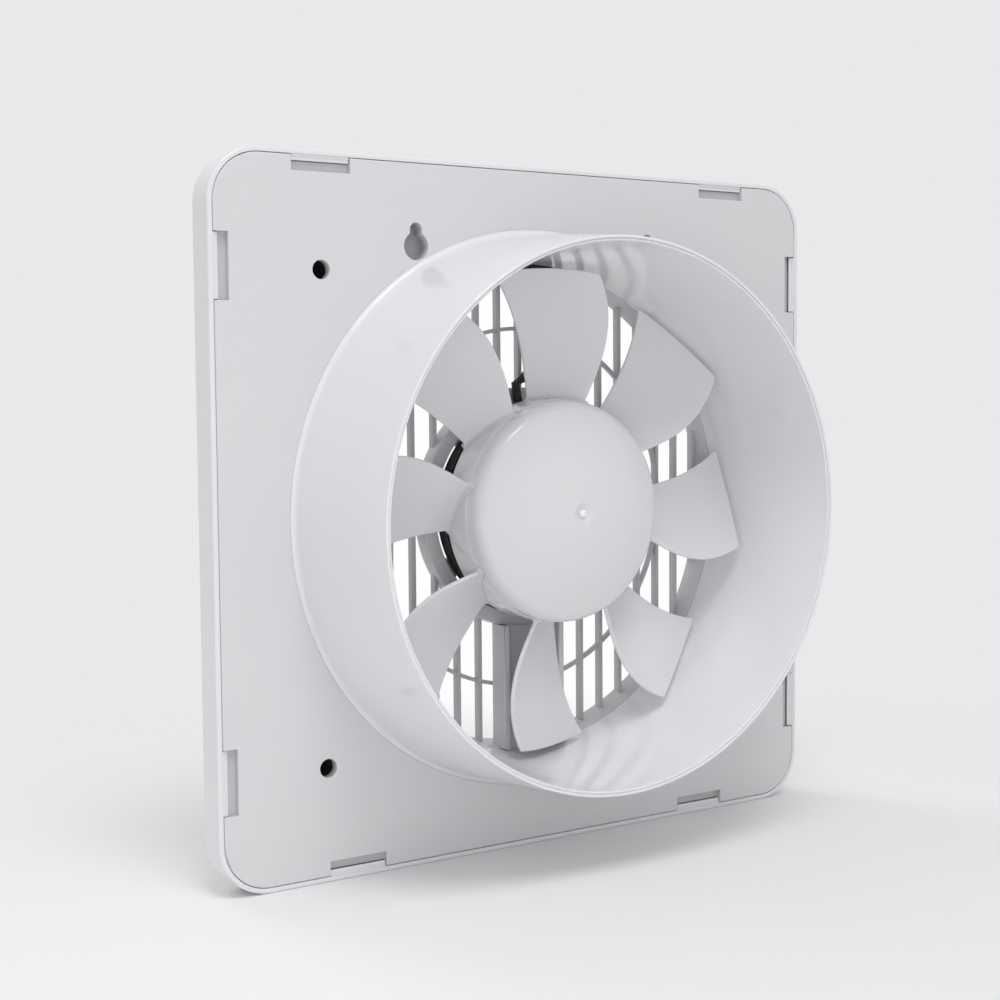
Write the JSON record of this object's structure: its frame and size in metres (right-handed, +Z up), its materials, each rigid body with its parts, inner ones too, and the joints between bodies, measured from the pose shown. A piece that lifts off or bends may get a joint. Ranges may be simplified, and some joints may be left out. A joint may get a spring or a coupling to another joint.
{
  "type": "window exhaust fan",
  "caption": "Square through-wall exhaust fan: clip-on front cover, plate with a tapered duct, barred motor guard and a bladed impeller on a capacitor motor.",
  "frame": {"origin": "on the wall plane (the rear face of the back plate), on the duct and impeller axis, which is also the centre of the four wall screw holes", "axes": "+Z up, +Y along the duct away from the room, +X to the left as seen from the duct side"},
  "size_m": [0.25, 0.067, 0.24],
  "materials": {
    "plate_plastic": "moulded white ABS, satin",
    "cover_plastic": "moulded white ABS, gloss",
    "guard_plastic": "moulded white ABS, satin",
    "impeller_plastic": "moulded white polypropylene, slightly translucent",
    "black_rubber": "moulded",
    "black_plastic": "moulded",
    "wire_sleeve": "extruded PVC",
    "white_nylon": "moulded nylon",
    "zinc_steel": "zinc plated",
    "shaft_steel": "ground",
    "bracket_steel": "black oxide pressed steel",
    "lamination_steel": "stacked sheets",
    "rotor_aluminium": "die cast",
    "copper_wire": "enamelled copper",
    "bronze": "sintered",
    "felt": "oiled felt"
  },
  "bodies": {
    "frame": {"back_plate": "plate_plastic", "duct": "plate_plastic", "motor_guard": "guard_plastic", "guard_screws": "zinc_steel", "screw_sleeves": "black_rubber", "rear_bracket": "bracket_steel", "front_bracket": "bracket_steel", "stator_core": "lamination_steel", "stator_coils": "copper_wire", "coil_insulators": "black_plastic", "rear_bearing": "bronze", "front_bearing": "bronze", "bearing_felts": "felt", "motor_bolts": "zinc_steel", "bolt_nuts": "zinc_steel", "motor_screws": "zinc_steel", "motor_washers": "black_rubber", "thermal_fuse": "white_nylon", "motor_lead": "wire_sleeve", "lead_grommet": "black_rubber", "capacitor": "black_plastic", "capacitor_clip": "guard_plastic", "capacitor_lead": "wire_sleeve", "terminal_block": "white_nylon", "terminal_screws": "bronze", "cord_clamp": "white_nylon", "clamp_screws": "zinc_steel", "cable_grommet": "black_rubber"},
    "cover": {"front_cover": "cover_plastic"},
    "rotor": {"impeller": "impeller_plastic", "hub_clip": "zinc_steel", "motor_shaft": "shaft_steel", "rotor_core": "lamination_steel", "rotor_cage": "rotor_aluminium", "thrust_washers": "white_nylon"}
  },
  "joints": [
    {"name": "impeller_spin", "type": "hinge", "parent": "frame", "child": "rotor", "pos_m": [0, 0, 0], "axis": [0, 1, 0], "continuous": true},
    {"name": "cover_pull", "type": "slide", "parent": "frame", "child": "cover", "axis": [0, -1, 0], "range_m": [0, 0.06]}
  ]
}
